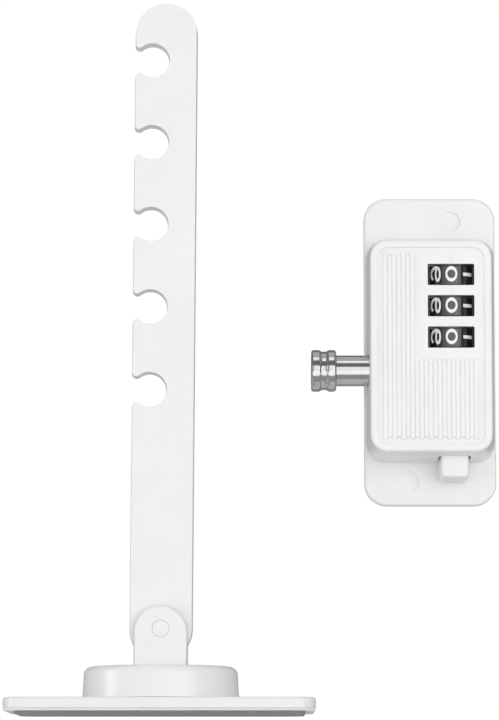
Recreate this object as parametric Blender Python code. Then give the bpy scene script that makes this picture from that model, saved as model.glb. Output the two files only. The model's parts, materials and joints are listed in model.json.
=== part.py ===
# Window restrictor in two units: a notched stay arm that swivels and folds on a stick-on base,
# and a three-dial combination lock whose steel stud catches one of the arm's notches.
# Metres, +Z up, +Y away from the viewer. The origin is the centre of the base pad's underside.

import math

import bmesh
import bpy
from mathutils import Vector

MM = 0.001

# Clearances
GLUED = 0.05 * MM      # between faces that are stuck or screwed together
FITTED = 0.12 * MM     # round a pin or screw in its hole
RUNNING = 0.3 * MM     # between pieces that move past each other

# Base of the arm unit
BASE_WIDTH, BASE_DEPTH, BASE_CORNER = 80.2 * MM, 44 * MM, 5.8 * MM
BASE_TOP = 4.1 * MM
PAD_THICK, PAD_INSET = 0.7 * MM, 2.6 * MM
HUB_RADIUS = 3 * MM             # spigot under the turret, in the base plate's hole
HUB_RECESS_RADIUS, HUB_RECESS_TOP = 7 * MM, 2.6 * MM
BASE_EDGE = 0.9 * MM            # rounding of the plate's edges

# Turret
BOSS_RADIUS, BOSS_TOP_RADIUS = 20.4 * MM, 20 * MM
BOSS_TOP, BOSS_CROWN, BOSS_FILLET = 12.5 * MM, 0.3 * MM, 1.9 * MM
BOSS_WALL, BOSS_COLUMN = 2.2 * MM, 4.6 * MM     # outer wall, and the solid middle's radius
LUG_RADIUS, LUG_THICK, LUG_ARC_DROP = 7.1 * MM, 2.6 * MM, 1 * MM
FRICTION_WASHER = (6.3 * MM, 1.95 * MM, 2.45 * MM)      # radius, bottom and top
RETAINER = (6 * MM, 1.3 * MM, 1.85 * MM)
TURRET_SCREW_HEAD, TURRET_SCREW_SHANK = 2.6 * MM, 1.2 * MM
TURRET_SCREW_FOOT, TURRET_SCREW_TIP = 0.8 * MM, 9.4 * MM

# Stay arm
PIVOT_HEIGHT = 22.2 * MM
PIN_RADIUS = 2.1 * MM
ARM_HALF, ARM_THICK = 8.3 * MM, 4.6 * MM
ARM_REACH = 165.8 * MM          # pivot to the rounded end
ARM_LEAN = math.radians(0.4)    # friction holds the arm a touch off plumb
NOTCH_COUNT, NOTCH_PITCH, FIRST_NOTCH = 5, 21.9 * MM, 62.7 * MM
NOTCH_RADIUS, NOTCH_INSET = 4.33 * MM, 4.7 * MM     # inset: arm's edge to notch centre
LIP_RADIUS = 1.25 * MM
WASHER_RADIUS, WASHER_GAP = 5 * MM, 0.7 * MM        # gap: arm face to lug

# Lock unit, in heights above the wall it is stuck to
LOCK_X, WALL_Y, LOCK_Z = 71.36 * MM, 22 * MM, 97.5 * MM
LOCK_PAD = 0.8 * MM
PLATE_WIDTH, PLATE_TALL, PLATE_CORNER = 35.2 * MM, 82.9 * MM, 6 * MM
PLATE_FACE, SEAM, COVER_FACE = 3.4 * MM, 11.2 * MM, 19 * MM
FOOT_WIDTH, FOOT_TALL, FOOT_CORNER = 34.4 * MM, 59.4 * MM, 5 * MM
SEAM_WIDTH, SEAM_TALL, SEAM_CORNER = 33.6 * MM, 58.4 * MM, 4.8 * MM
FACE_WIDTH, FACE_TALL, FACE_CORNER = 32.2 * MM, 56.5 * MM, 4.4 * MM
SHELL_WALL, PANEL_THICK = 1.6 * MM, 1.5 * MM
PLATE_EDGE, COVER_EDGE = 0.8 * MM, 0.9 * MM
WEB_THICK, WEB_HALF = 1.2 * MM, 2.6 * MM        # the two webs that hold the dial shaft
DIMPLE_RADIUS, DIMPLE_DEPTH, DIMPLE_PLACE = 2.64 * MM, 0.3 * MM, (5.7 * MM, 35 * MM)

# Dials
DIAL_X, DIAL_MIDDLE_Z, DIAL_PITCH = 5.13 * MM, 10.2 * MM, 8.35 * MM
DIAL_RADIUS, DIAL_THICK, DIGITS = 7.5 * MM, 5 * MM, 10
WINDOW_X, WINDOW_WIDTH, WINDOW_TALL = 5.02 * MM, 12.28 * MM, 5.65 * MM
SLEEVE_RADIUS, SLEEVE_TALL, SHAFT_RADIUS = 3.5 * MM, 7.2 * MM, 1.6 * MM
LEAF_THICK, LEAF_HALF, LEAF_SPAN = 0.4 * MM, 4 * MM, (-1 * MM, 20.4 * MM)

# Stud
STUD_Z = -6.23 * MM
SHANK_RADIUS, NECK_RADIUS, HEAD_RADIUS, HEAD_GROOVE = 4.1 * MM, 2.8 * MM, 5.55 * MM, 4.95 * MM
HEAD_TIP, HEAD_BACK, SHANK_END = -31.9 * MM, -25.25 * MM, -14 * MM
HEAD_EDGE, GROOVE_SPAN = 0.5 * MM, (-29.2 * MM, -27.85 * MM)
COLLAR = (-6.4 * MM, -4.4 * MM)         # ridge on the neck that the latch hook drops behind
TAIL_END, SPRING_BORE, BORE_START = 9.5 * MM, 2.05 * MM, -3 * MM
BUSH, BUSH_RADIUS = (-13.9 * MM, -8.5 * MM), 5.5 * MM

# Release button and latch slider
BUTTON_X, BUTTON_WIDTH = 6.05 * MM, 8 * MM
BUTTON_HEIGHTS = (3.9 * MM, 14 * MM)
BUTTON_TIP, BUTTON_FLANGE = -35.2 * MM, (-25.4 * MM, -24.1 * MM)
SLIDER_HEIGHTS = (4.4 * MM, 6.4 * MM)
HOOK = (-8.2 * MM, -6.7 * MM)
TOOTH_TALL, TOOTH_LIFT = 0.8 * MM, 0.25 * MM
SCREW_PLACE, POST_RADIUS = (12.5 * MM, 24 * MM), 1.75 * MM
SCREW_HEAD, SCREW_SHANK, SCREW_REACH = 1.9 * MM, 0.9 * MM, 9.6 * MM

WHITE = (0.86, 0.86, 0.86)
BLACK = (0.012, 0.012, 0.013)
STEEL = (0.62, 0.61, 0.6)
GREY_FOAM = (0.2, 0.2, 0.2)

X, Y, Z = Vector((1, 0, 0)), Vector((0, 1, 0)), Vector((0, 0, 1))
# Each direction of a slab or a turned piece, with the two directions that its outline is drawn in.
PLANES = {"x": (X, Y, Z), "y": (Y, X, Z), "z": (Z, X, Y)}


def clear_scene():
    for obj in list(bpy.data.objects):
        bpy.data.objects.remove(obj)


def frame(name, place, parent=None, lean=0.0):
    """An empty on a joint's axis; the pieces that move with it are its children."""
    empty = bpy.data.objects.new(name, None)
    empty.location = place
    empty.rotation_euler.y = lean
    empty.parent = parent
    bpy.context.scene.collection.objects.link(empty)
    return empty


def placed(name, bm, parent, place=(0, 0, 0)):
    bmesh.ops.recalc_face_normals(bm, faces=bm.faces)
    mesh = bpy.data.meshes.new(name)
    bm.to_mesh(mesh)
    bm.free()
    obj = bpy.data.objects.new(name, mesh)
    obj.parent = parent
    obj.location = place
    bpy.context.scene.collection.objects.link(obj)
    return obj


def finish(obj, colour, roughness, metallic=0.0):
    """Gives a piece its own material and smooth shading between its sharp edges."""
    material = bpy.data.materials.new(obj.name)
    material.use_nodes = True
    shader = material.node_tree.nodes["Principled BSDF"]
    shader.inputs["Base Color"].default_value = (*colour, 1)
    shader.inputs["Roughness"].default_value = roughness
    shader.inputs["Metallic"].default_value = metallic
    obj.data.materials.append(material)
    if obj.type == "MESH":
        obj.data.shade_smooth()
        obj.data.set_sharp_from_angle(angle=math.radians(35))
    return obj


def use(obj, tool, operation):
    """Cuts a helper shape out of a piece, or joins it on."""
    tool.hide_render = True
    tool.display_type = "WIRE"
    modifier = obj.modifiers.new(operation.lower(), "BOOLEAN")
    modifier.operation = operation
    modifier.object = tool
    return obj


def cut(obj, *tools):
    for tool in tools:
        use(obj, tool, "DIFFERENCE")
    return obj


def join(obj, *tools):
    for tool in tools:
        use(obj, tool, "UNION")
    return obj


def arc(centre, radius, start, end, steps):
    """Points from one angle to another, in degrees, both ends included."""
    angles = (math.radians(start + (end - start) * i / steps) for i in range(steps + 1))
    return [(centre[0] + radius * math.cos(a), centre[1] + radius * math.sin(a)) for a in angles]


def rectangle(width, height, radius=0.0, centre=(0, 0), steps=5):
    """A rectangle, with round corners if it has a radius."""
    if not radius:
        radius, steps = 0.0, 0
    points = []
    for turn, (side, rise) in enumerate(((1, 1), (-1, 1), (-1, -1), (1, -1))):
        corner = (
            centre[0] + side * (width / 2 - radius),
            centre[1] + rise * (height / 2 - radius),
        )
        points += arc(corner, radius, 90 * turn, 90 * turn + 90, steps) if steps else [corner]
    return points


def loft(levels, along):
    """A solid through outlines with the same number of points, each at its place along an axis."""
    forward, across, up = PLANES[along]
    bm = bmesh.new()
    rings = [
        [bm.verts.new(forward * place + across * u + up * v) for u, v in outline]
        for outline, place in levels
    ]
    for low, high in zip(rings, rings[1:]):
        for i in range(len(low)):
            j = (i + 1) % len(low)
            bm.faces.new((low[i], low[j], high[j], high[i]))
    bm.faces.new(rings[0])
    bm.faces.new(rings[-1])
    return bm


def slab(outline, along, low, high):
    return loft(((outline, low), (outline, high)), along)


def block(x, y, z):
    """A box from three (low, high) pairs."""
    middle = (sum(x) / 2, sum(y) / 2)
    return slab(rectangle(x[1] - x[0], y[1] - y[0], centre=middle), "z", *z)


def turned(profile, along, segments):
    """A profile of (place along the axis, radius) points spun round it. One that starts and ends
    away from the axis is closed into a ring."""
    forward, _, outward = PLANES[along]
    bm = bmesh.new()
    points = [bm.verts.new(forward * place + outward * radius) for place, radius in profile]
    pairs = list(zip(points, points[1:]))
    if profile[0][1] > 0:
        pairs.append((points[-1], points[0]))
    edges = [bm.edges.new(pair) for pair in pairs]
    bmesh.ops.spin(
        bm, geom=points + edges, axis=forward, cent=(0, 0, 0), angle=math.tau, steps=segments
    )
    bmesh.ops.remove_doubles(bm, verts=bm.verts, dist=1e-7)
    return bm


def rod(radius, along, low, high, segments=32):
    return turned(((low, 0), (low, radius), (high, radius), (high, 0)), along, segments)


def tube(inner, outer, along, low, high, segments=32):
    return turned(((low, inner), (low, outer), (high, outer), (high, inner)), along, segments)


def off_wall(low, high):
    """The Y span of a piece of the lock between two heights above the wall."""
    return (-high, -low)


def coil(name, radius, wire, along, low, high, turns, parent, place):
    """A compression spring with flat ends."""
    forward, across, up = PLANES[along]
    curve = bpy.data.curves.new(name, "CURVE")
    curve.dimensions = "3D"
    curve.bevel_depth, curve.bevel_resolution, curve.use_fill_caps = wire, 1, True
    steps = 12
    count = turns * steps
    spline = curve.splines.new("POLY")
    spline.points.add(count)
    for i, point in enumerate(spline.points):
        share = min(max((i - steps * 0.8) / (count - steps * 1.6), 0), 1)
        start, end = low + wire + i * wire * 0.13, high - wire - (count - i) * wire * 0.13
        reach = start + (end - start) * share
        angle = math.tau * i / steps
        spot = forward * reach + across * radius * math.cos(angle) + up * radius * math.sin(angle)
        point.co = (*spot, 1)
    obj = bpy.data.objects.new(name, curve)
    obj.parent = parent
    obj.location = place
    bpy.context.scene.collection.objects.link(obj)
    return finish(obj, STEEL, 0.3, 1)


# Arm unit


def base_pad(root):
    outline = rectangle(
        BASE_WIDTH - 2 * PAD_INSET, BASE_DEPTH - 2 * PAD_INSET, BASE_CORNER - PAD_INSET / 2
    )
    finish(placed("base_pad", slab(outline, "z", 0, PAD_THICK), root), GREY_FOAM, 0.9)


def base_plate(root):
    bottom, soft = PAD_THICK + GLUED, BASE_EDGE
    levels = []
    for inset, height in ((soft, bottom), (0, bottom + soft), (0, BASE_TOP - soft),
                          (0.3 * soft, BASE_TOP - 0.3 * soft), (soft, BASE_TOP)):
        outline = rectangle(BASE_WIDTH - 2 * inset, BASE_DEPTH - 2 * inset, BASE_CORNER - inset)
        levels.append((outline, height))
    plate = placed("base_plate", loft(levels, "z"), root)
    hole = placed("hub_hole", rod(HUB_RADIUS + RUNNING, "z", 0, 2 * BASE_TOP), root)
    recess = placed("hub_recess", rod(HUB_RECESS_RADIUS, "z", 0, HUB_RECESS_TOP, 48), root)
    finish(cut(plate, hole, recess), WHITE, 0.35)


def turret(swivel):
    foot, ceiling = BASE_TOP + RUNNING, BOSS_TOP - BOSS_WALL + 0.4 * MM
    hub_end = HUB_RECESS_TOP - 0.5 * MM
    fillet = arc(
        (BOSS_TOP_RADIUS - BOSS_FILLET, BOSS_TOP - BOSS_FILLET), BOSS_FILLET, 0, 84, 5
    )
    profile = [(hub_end, 0), (hub_end, HUB_RADIUS), (foot, HUB_RADIUS), (foot, BOSS_COLUMN),
               (ceiling, BOSS_COLUMN), (ceiling, BOSS_RADIUS - BOSS_WALL),
               (foot, BOSS_RADIUS - BOSS_WALL), (foot, BOSS_RADIUS)]
    profile += [(height, radius) for radius, height in fillet]
    profile.append((BOSS_TOP + BOSS_CROWN, 0))
    piece = placed("turret", turned(profile, "z", 64), swivel)
    arc_height = PIVOT_HEIGHT - LUG_ARC_DROP
    outline = arc((0, arc_height), LUG_RADIUS, 0, 180, 16)
    outline += [(-LUG_RADIUS, BOSS_TOP - 1 * MM), (LUG_RADIUS, BOSS_TOP - 1 * MM)]
    inner = ARM_THICK / 2 + WASHER_GAP
    for side in (-1, 1):
        span = sorted((side * inner, side * (inner + LUG_THICK)))
        join(piece, placed("lug", slab(outline, "y", *span), swivel))
    bore = rod(PIN_RADIUS + FITTED, "y", -10 * MM, 10 * MM)
    pilot = rod(TURRET_SCREW_SHANK + FITTED, "z", 0, TURRET_SCREW_TIP + FITTED, 16)
    cut(piece, placed("pin_bore", bore, swivel, (0, 0, PIVOT_HEIGHT)),
        placed("screw_pilot", pilot, swivel))
    finish(piece, WHITE, 0.3)


def turret_fixings(swivel):
    """What holds the turret down from below: friction washer, retaining washer and screw."""
    radius, low, high = FRICTION_WASHER
    spring_washer = tube(HUB_RADIUS + RUNNING, radius, "z", low, high)
    finish(placed("turret_friction_washer", spring_washer, swivel), STEEL, 0.3, 1)
    radius, low, high = RETAINER
    retainer = tube(TURRET_SCREW_SHANK + FITTED, radius, "z", low, high)
    finish(placed("turret_retaining_washer", retainer, swivel), STEEL, 0.3, 1)
    head, shank, foot, tip = (TURRET_SCREW_HEAD, TURRET_SCREW_SHANK, TURRET_SCREW_FOOT,
                              TURRET_SCREW_TIP)
    head_top = foot + 0.4 * MM
    profile = ((foot, 0), (foot, head), (head_top, head), (head_top, shank),
               (tip - 0.4 * MM, shank), (tip, 0))
    finish(placed("turret_screw", turned(profile, "z", 16), swivel), STEEL, 0.35, 1)


def arm_outline():
    """Down the notched edge, round the pivot end, and back up the plain edge. Each notch is a
    circle opened to the edge by two lips, and each lip is one arc that touches both."""
    reach = NOTCH_RADIUS + LIP_RADIUS
    across = NOTCH_INSET - LIP_RADIUS
    lip_rise = math.sqrt(reach**2 - across**2)
    lean = math.degrees(math.atan2(lip_rise, across))
    notch_x, lip_x = -ARM_HALF + NOTCH_INSET, -ARM_HALF + LIP_RADIUS
    points = arc((0, ARM_REACH - ARM_HALF), ARM_HALF, 0, 180, 20)
    for i in reversed(range(NOTCH_COUNT)):
        middle = FIRST_NOTCH + i * NOTCH_PITCH
        points += arc((lip_x, middle + lip_rise), LIP_RADIUS, 180, 360 - lean, 5)
        points += arc((notch_x, middle), NOTCH_RADIUS, 180 - lean, lean - 180, 18)[1:-1]
        points += arc((lip_x, middle - lip_rise), LIP_RADIUS, lean, 180, 5)
    return points + arc((0, 0), ARM_HALF, 180, 360, 20)


def stay_arm(pivot):
    outline = arm_outline()
    arm = placed("stay_arm", slab(outline, "y", -ARM_THICK / 2, ARM_THICK / 2), pivot)
    hole = placed("arm_hole", rod(PIN_RADIUS + 1.5 * FITTED, "y", -5 * MM, 5 * MM), pivot)
    finish(cut(arm, hole), WHITE, 0.35)
    for name, side in (("front", -1), ("rear", 1)):
        near = ARM_THICK / 2 + GLUED
        span = sorted((side * near, side * (ARM_THICK / 2 + WASHER_GAP - GLUED)))
        washer = tube(PIN_RADIUS + 1.5 * FITTED, WASHER_RADIUS, "y", *span)
        finish(placed(f"{name}_friction_washer", washer, pivot), BLACK, 0.5)


def pivot_pin(swivel):
    half = ARM_THICK / 2 + WASHER_GAP + LUG_THICK
    pin = rod(PIN_RADIUS, "y", -half, half)
    finish(placed("pivot_pin", pin, swivel, (0, 0, PIVOT_HEIGHT)), WHITE, 0.35)


# Lock unit


def lock_pad(lock):
    outline = rectangle(PLATE_WIDTH - 3 * MM, PLATE_TALL - 3 * MM, PLATE_CORNER - 1.5 * MM)
    pad = placed("lock_pad", slab(outline, "y", *off_wall(0, LOCK_PAD)), lock)
    holes = [placed("pad_screw_hole", rod(2.6 * MM, "y", -2 * MM, 2 * MM, 16), lock, (x, 0, z))
             for x, z in screw_places()]
    finish(cut(pad, *holes), GREY_FOAM, 0.9)


def screw_places():
    x, z = SCREW_PLACE
    return [(side * x, rise * z) for rise in (1, -1) for side in (-1, 1)]


def shell_outline(width, tall, corner, inset=0.0):
    return rectangle(width - 2 * inset, tall - 2 * inset, corner - inset / 2)


def lock_openings(lock, tag):
    """The holes that both halves of the case share: round the stud and round the button."""
    hole = rod(SHANK_RADIUS + RUNNING, "x", -PLATE_WIDTH, SHANK_END + 2 * MM)
    low, high = BUTTON_HEIGHTS
    half = BUTTON_WIDTH / 2 + RUNNING
    slot = block((BUTTON_X - half, BUTTON_X + half), off_wall(low - RUNNING, high + RUNNING),
                 (-32 * MM, -22 * MM))
    return (placed(f"stud_hole_{tag}", hole, lock, (0, -SEAM, STUD_Z)),
            placed(f"button_slot_{tag}", slot, lock))


def lock_back_plate(lock):
    back, soft = LOCK_PAD + GLUED, PLATE_EDGE
    levels = []
    for inset, height in ((0.3 * MM, back), (0, back + 0.3 * MM), (0, PLATE_FACE - soft),
                          (0.3 * soft, PLATE_FACE - 0.3 * soft), (soft, PLATE_FACE)):
        outline = shell_outline(PLATE_WIDTH, PLATE_TALL, PLATE_CORNER, inset)
        levels.append((outline, -height))
    plate = placed("lock_back_plate", loft(levels, "y"), lock)
    seam_low = SEAM - FITTED / 2
    skirt = loft(((shell_outline(FOOT_WIDTH, FOOT_TALL, FOOT_CORNER), -PLATE_FACE + 0.5 * MM),
                  (shell_outline(SEAM_WIDTH, SEAM_TALL, SEAM_CORNER), -seam_low)), "y")
    join(plate, placed("skirt", skirt, lock))
    hollow = slab(shell_outline(SEAM_WIDTH, SEAM_TALL, SEAM_CORNER, SHELL_WALL), "y",
                  *off_wall(PLATE_FACE, COVER_FACE))
    cut(plate, placed("skirt_hollow", hollow, lock), *lock_openings(lock, "back"))
    low_end, high_end = DIAL_MIDDLE_Z - DIAL_PITCH, DIAL_MIDDLE_Z + DIAL_PITCH
    web_gap = SLEEVE_TALL / 2 + RUNNING
    for name, low, high in (("lower", low_end - web_gap - WEB_THICK, low_end - web_gap),
                            ("upper", high_end + web_gap, high_end + web_gap + WEB_THICK)):
        web = block((DIAL_X - WEB_HALF, DIAL_X + WEB_HALF),
                    off_wall(PLATE_FACE - 0.5 * MM, SEAM + 3 * MM), (low, high))
        join(plate, placed(f"{name}_shaft_web", web, lock))
    shaft_hole = rod(SHAFT_RADIUS + FITTED, "z", -8 * MM, 25 * MM, 24)
    cut(plate, placed("shaft_hole", shaft_hole, lock, (DIAL_X, -SEAM, 0)))
    for side in (-1, 1):
        dimple = rod(DIMPLE_RADIUS, "y", -PLATE_FACE - MM, -PLATE_FACE + DIMPLE_DEPTH, 24)
        place = (side * DIMPLE_PLACE[0], 0, side * DIMPLE_PLACE[1])
        cut(plate, placed("dimple", dimple, lock, place))
    for x, z in screw_places():
        hole = turned(((0, 0), (0, 2.3 * MM), (-2.3 * MM, 2.3 * MM), (-2.3 * MM, 1.1 * MM),
                       (-6 * MM, 1.1 * MM), (-6 * MM, 0)), "y", 16)
        cut(plate, placed("plate_screw_hole", hole, lock, (x, 0, z)))
    finish(plate, WHITE, 0.35)


def lock_cover(lock):
    seam, soft = SEAM + FITTED / 2, COVER_EDGE
    levels = [(shell_outline(SEAM_WIDTH, SEAM_TALL, SEAM_CORNER), -seam)]
    for inset, height in ((0, COVER_FACE - soft), (0.3 * soft, COVER_FACE - 0.3 * soft),
                          (soft, COVER_FACE)):
        levels.append((shell_outline(FACE_WIDTH, FACE_TALL, FACE_CORNER, inset), -height))
    cover = placed("lock_cover", loft(levels, "y"), lock)
    hollow = slab(shell_outline(FACE_WIDTH, FACE_TALL, FACE_CORNER, SHELL_WALL), "y",
                  *off_wall(PLATE_FACE, COVER_FACE - PANEL_THICK))
    cut(cover, placed("cover_hollow", hollow, lock))
    post_foot = PLATE_FACE + RUNNING
    for x, z in screw_places():
        post = rod(POST_RADIUS, "y", *off_wall(post_foot, COVER_FACE - MM), 16)
        join(cover, placed("screw_post", post, lock, (x, 0, z)))
    for x, z in screw_places():
        pilot = rod(SCREW_SHANK + FITTED, "y", *off_wall(0, SCREW_REACH + 0.4 * MM), 12)
        cut(cover, placed("post_pilot", pilot, lock, (x, 0, z)))
    seat = block((BUTTON_X - 3 * MM, BUTTON_X + 3 * MM), off_wall(7 * MM, COVER_FACE - MM),
                 (-12.2 * MM, -11 * MM))
    join(cover, placed("spring_seat_rib", seat, lock))
    for i in range(3):
        middle = (WINDOW_X, dial_z(i))
        outline = rectangle(WINDOW_WIDTH, WINDOW_TALL, centre=middle)
        window = slab(outline, "y", *off_wall(COVER_FACE - 3 * MM, COVER_FACE + MM))
        cut(cover, placed("window", window, lock))
    cut(cover, *lock_openings(lock, "cover"))
    finish(cover, WHITE, 0.35)


def cover_screws(lock):
    top, foot = -LOCK_PAD - GLUED, -2.1 * MM
    profile = ((top, 0), (top, SCREW_HEAD), (foot, SCREW_HEAD), (foot, SCREW_SHANK),
               (0.6 * MM - SCREW_REACH, SCREW_SHANK), (-SCREW_REACH, 0))
    for number, (x, z) in enumerate(screw_places(), 1):
        screw = placed(f"cover_screw_{number}", turned(profile, "y", 12), lock, (x, 0, z))
        finish(screw, STEEL, 0.35, 1)


def dial_z(index):
    """Height of a dial above the lock's centre, from the top dial down."""
    return DIAL_MIDDLE_Z + (1 - index) * DIAL_PITCH


def dial(index, axis):
    """A ten-sided number wheel on its code sleeve, which has a gate for the fence tooth."""
    number = index + 1
    outline = arc((0, 0), DIAL_RADIUS, -90 + 18, 270 - 18, DIGITS - 1)
    half = DIAL_THICK / 2
    wheel = placed(f"dial_wheel_{number}", slab(outline, "z", -half, half), axis)
    bore = rod(SLEEVE_RADIUS + FITTED, "z", -10 * MM, 10 * MM, 24)
    finish(cut(wheel, placed("wheel_bore", bore, axis)), BLACK, 0.3)
    tall = SLEEVE_TALL / 2
    sleeve = tube(SHAFT_RADIUS + FITTED, SLEEVE_RADIUS, "z", -tall, tall, 24)
    piece = placed(f"code_sleeve_{number}", sleeve, axis)
    gate = block((-5 * MM, -2.4 * MM), (-1.6 * MM, 1.6 * MM), (half + 0.1 * MM, half + 3 * MM))
    finish(cut(piece, placed("gate", gate, axis)), WHITE, 0.4)


def dial_shaft(lock):
    reach = DIAL_PITCH + SLEEVE_TALL / 2 + 1.4 * MM
    shaft = rod(SHAFT_RADIUS, "z", -reach, reach, 24)
    finish(placed("dial_shaft", shaft, lock, (DIAL_X, -SEAM, DIAL_MIDDLE_Z)), STEEL, 0.25, 1)


def detent_spring(lock):
    """One leaf beside the dials, slit into three fingers that press on their flats."""
    left = DIAL_X + DIAL_RADIUS + RUNNING
    leaf = block((left, left + LEAF_THICK), off_wall(SEAM - LEAF_HALF, SEAM + LEAF_HALF),
                 LEAF_SPAN)
    piece = placed("detent_leaf_spring", leaf, lock)
    for i in range(2):
        middle = (dial_z(i) + dial_z(i + 1)) / 2
        slit = block((left - MM, left + 2 * MM), off_wall(SEAM - 2 * MM, SEAM + 5 * MM),
                     (middle - 0.6 * MM, middle + 0.6 * MM))
        cut(piece, placed("leaf_slit", slit, lock))
    finish(piece, STEEL, 0.3, 1)


def stud(axis):
    """Grooved head, thick shank, and the thin neck that comes out of the case when it is freed."""
    soft, groove = HEAD_EDGE, GROOVE_SPAN
    profile = [(HEAD_TIP, 0), (HEAD_TIP, HEAD_RADIUS - soft), (HEAD_TIP + soft, HEAD_RADIUS),
               (groove[0] - soft, HEAD_RADIUS), (groove[0], HEAD_GROOVE),
               (groove[1], HEAD_GROOVE), (groove[1] + soft, HEAD_RADIUS),
               (HEAD_BACK - soft, HEAD_RADIUS), (HEAD_BACK, HEAD_RADIUS - soft),
               (HEAD_BACK, SHANK_RADIUS), (SHANK_END, SHANK_RADIUS), (SHANK_END, NECK_RADIUS),
               (COLLAR[0], NECK_RADIUS), (COLLAR[0], SHANK_RADIUS), (COLLAR[1], SHANK_RADIUS),
               (COLLAR[1], NECK_RADIUS), (TAIL_END, NECK_RADIUS), (TAIL_END, SPRING_BORE),
               (BORE_START, SPRING_BORE), (BORE_START, 0)]
    finish(placed("stud", turned(profile, "x", 32), axis), STEEL, 0.18, 1)


def stud_bush(lock):
    bush = tube(SHANK_RADIUS + RUNNING, BUSH_RADIUS, "x", *BUSH)
    finish(placed("stud_guide_bush", bush, lock, (0, -SEAM, STUD_Z)), WHITE, 0.4)


def release_button(axis):
    low, high = BUTTON_HEIGHTS
    soft = 0.6 * MM
    levels = []
    for inset, height in ((0, low), (0, high - soft), (0.3 * soft, high - 0.3 * soft),
                          (soft, high)):
        outline = rectangle(BUTTON_WIDTH - 2 * inset, BUTTON_FLANGE[1] - BUTTON_TIP - 2 * inset,
                            1 * MM, (0, (BUTTON_TIP + BUTTON_FLANGE[1]) / 2), 3)
        levels.append((outline, -height))
    button = placed("release_button", loft(levels, "y"), axis)
    half = BUTTON_WIDTH / 2 + 0.5 * MM
    flange = block((-half, half), off_wall(low, high), BUTTON_FLANGE)
    finish(join(button, placed("button_flange", flange, axis)), WHITE, 0.35)


def latch_slider(axis):
    """A bent plate on the button: its hook drops behind the stud's collar, and its fence teeth
    stand between the dials at their code sleeves."""
    low, high = SLIDER_HEIGHTS
    foot = BUTTON_FLANGE[1] + GLUED
    right, inner, left = 3.8 * MM, -9.1 * MM, HOOK[0] - BUTTON_X
    top = dial_z(0) + DIAL_THICK / 2 + TOOTH_LIFT + TOOTH_TALL
    outline = [(-right, foot), (right, foot), (right, -16 * MM), (inner, -16 * MM),
               (inner, top), (left, top), (left, -20 * MM), (-right, -20 * MM)]
    plate = placed("latch_slider", slab(outline, "y", *off_wall(low, high)), axis)
    hook_span = tuple(x - BUTTON_X for x in HOOK)
    hook_foot = STUD_Z + SHANK_RADIUS + RUNNING
    hook = block(hook_span, off_wall(low, SEAM + 2.2 * MM), (hook_foot, hook_foot + 3 * MM))
    wall = block((inner - 1.2 * MM, inner), off_wall(low, SEAM + 1.4 * MM), (2 * MM, top))
    join(plate, placed("hook", hook, axis), placed("fence_wall", wall, axis))
    tip = DIAL_X - SLEEVE_RADIUS - RUNNING - BUTTON_X
    for i in range(3):
        rise = dial_z(i) + DIAL_THICK / 2 + TOOTH_LIFT
        tooth = block((inner - 0.6 * MM, tip), off_wall(SEAM - 1.2 * MM, SEAM + 1.2 * MM),
                      (rise, rise + TOOTH_TALL))
        join(plate, placed("fence_tooth", tooth, axis))
    finish(plate, STEEL, 0.35, 1)


def main():
    clear_scene()
    root = frame("base_frame", (0, 0, 0))
    base_pad(root)
    base_plate(root)

    swivel = frame("turret_axis", (0, 0, 0), root)
    turret(swivel)
    turret_fixings(swivel)
    pivot_pin(swivel)
    stay_arm(frame("arm_axis", (0, 0, PIVOT_HEIGHT), swivel, ARM_LEAN))

    lock = frame("lock_frame", (LOCK_X, WALL_Y, LOCK_Z), root)
    lock_pad(lock)
    lock_back_plate(lock)
    lock_cover(lock)
    cover_screws(lock)
    dial_shaft(lock)
    detent_spring(lock)
    for i in range(3):
        dial(i, frame(f"dial_axis_{i + 1}", (DIAL_X, -SEAM, dial_z(i)), lock))
    stud_bush(lock)
    stud_axis = frame("stud_axis", (0, -SEAM, STUD_Z), lock)
    stud(stud_axis)
    coil("stud_spring", 1.55 * MM, 0.25 * MM, "x", BORE_START + 0.2 * MM, 14 * MM, 12,
         stud_axis, (0, 0, 0))
    button_axis = frame("button_axis", (BUTTON_X, 0, 0), lock)
    release_button(button_axis)
    latch_slider(button_axis)
    coil("button_spring", 1.9 * MM, 0.3 * MM, "z", BUTTON_FLANGE[1] + GLUED, -12.3 * MM, 7,
         button_axis, (0, -9.5 * MM, 0))


main()
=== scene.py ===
import json
import math

import bmesh
import bpy
from mathutils import Matrix, Vector


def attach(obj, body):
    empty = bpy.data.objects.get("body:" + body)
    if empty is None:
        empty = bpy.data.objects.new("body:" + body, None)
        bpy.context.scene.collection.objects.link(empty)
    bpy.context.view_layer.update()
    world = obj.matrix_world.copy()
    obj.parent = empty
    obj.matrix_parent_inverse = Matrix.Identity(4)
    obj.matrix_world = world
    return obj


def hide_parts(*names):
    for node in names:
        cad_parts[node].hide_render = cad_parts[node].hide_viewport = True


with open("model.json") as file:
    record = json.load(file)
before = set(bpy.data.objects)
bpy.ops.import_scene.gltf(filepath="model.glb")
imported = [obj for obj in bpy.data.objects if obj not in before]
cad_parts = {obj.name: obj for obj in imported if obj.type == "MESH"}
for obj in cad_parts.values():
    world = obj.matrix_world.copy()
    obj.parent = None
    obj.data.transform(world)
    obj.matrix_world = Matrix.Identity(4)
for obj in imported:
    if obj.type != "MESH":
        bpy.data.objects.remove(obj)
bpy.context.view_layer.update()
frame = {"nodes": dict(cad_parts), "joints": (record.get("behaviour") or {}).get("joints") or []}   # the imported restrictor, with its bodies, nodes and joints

scene = bpy.context.scene
mm = 0.001
jointPlace = {joint["name"]: Vector(joint.get("pos_m", (0, 0, 0))) for joint in frame["joints"]}


# outlines are lists of (u, v) points and always run anticlockwise

def arc(centreU, centreV, radius, start, end, steps):
    turns = [math.radians(start + (end - start) * i / steps) for i in range(steps + 1)]
    return [(centreU + radius * math.cos(t), centreV + radius * math.sin(t)) for t in turns]


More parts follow.
